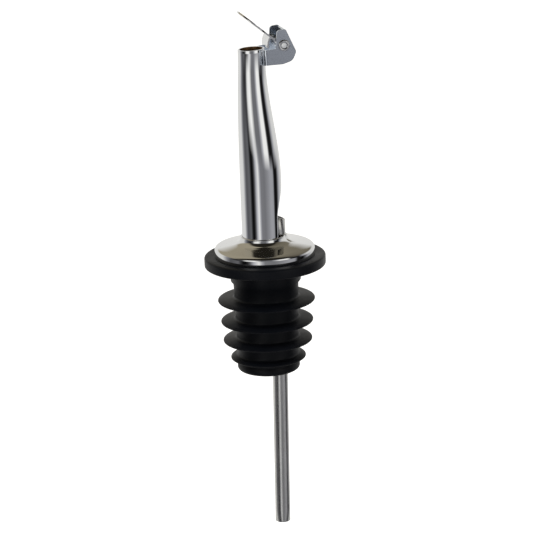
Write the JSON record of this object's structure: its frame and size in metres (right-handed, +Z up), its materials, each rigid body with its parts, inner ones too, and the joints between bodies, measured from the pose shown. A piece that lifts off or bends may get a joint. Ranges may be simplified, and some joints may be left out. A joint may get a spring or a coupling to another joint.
{
  "type": "liquor pour spout",
  "caption": "Bottle pourer: tapered chrome spout with a hinged flap, dished base flange, finned rubber stopper and a long breather tube.",
  "frame": {"origin": "on the stopper's axis, in the plane of the rubber flange's underside, which rests on the bottle's lip", "axes": "+Z up along the stopper's axis towards the mouth, -X the side it pours towards, Y along the flap's hinge"},
  "size_m": [0.0314, 0.0314, 0.1374],
  "materials": {
    "chrome": "mirror polished chrome plate",
    "brass": "bare drawn brass",
    "rubber": "satin moulded black",
    "stainless": "satin drawn tube",
    "zinc_plate": "satin bluish plating",
    "rivet_steel": "bright plated",
    "flap_chrome": "polished chrome plate"
  },
  "bodies": {
    "pourer": {"spout_tube": "chrome", "base_flange": "chrome", "inner_shank": "brass", "rubber_stopper": "rubber", "breather_tube": "stainless", "hinge_bracket": "zinc_plate", "hinge_rivet": "rivet_steel"},
    "flap": {"flap": "flap_chrome"}
  },
  "joints": [
    {"name": "flap_hinge", "type": "hinge", "parent": "pourer", "child": "flap", "pos_m": [0.00595, 0, 0.05722], "axis": [0, 1, 0], "range_deg": [-42.3, 46]}
  ]
}
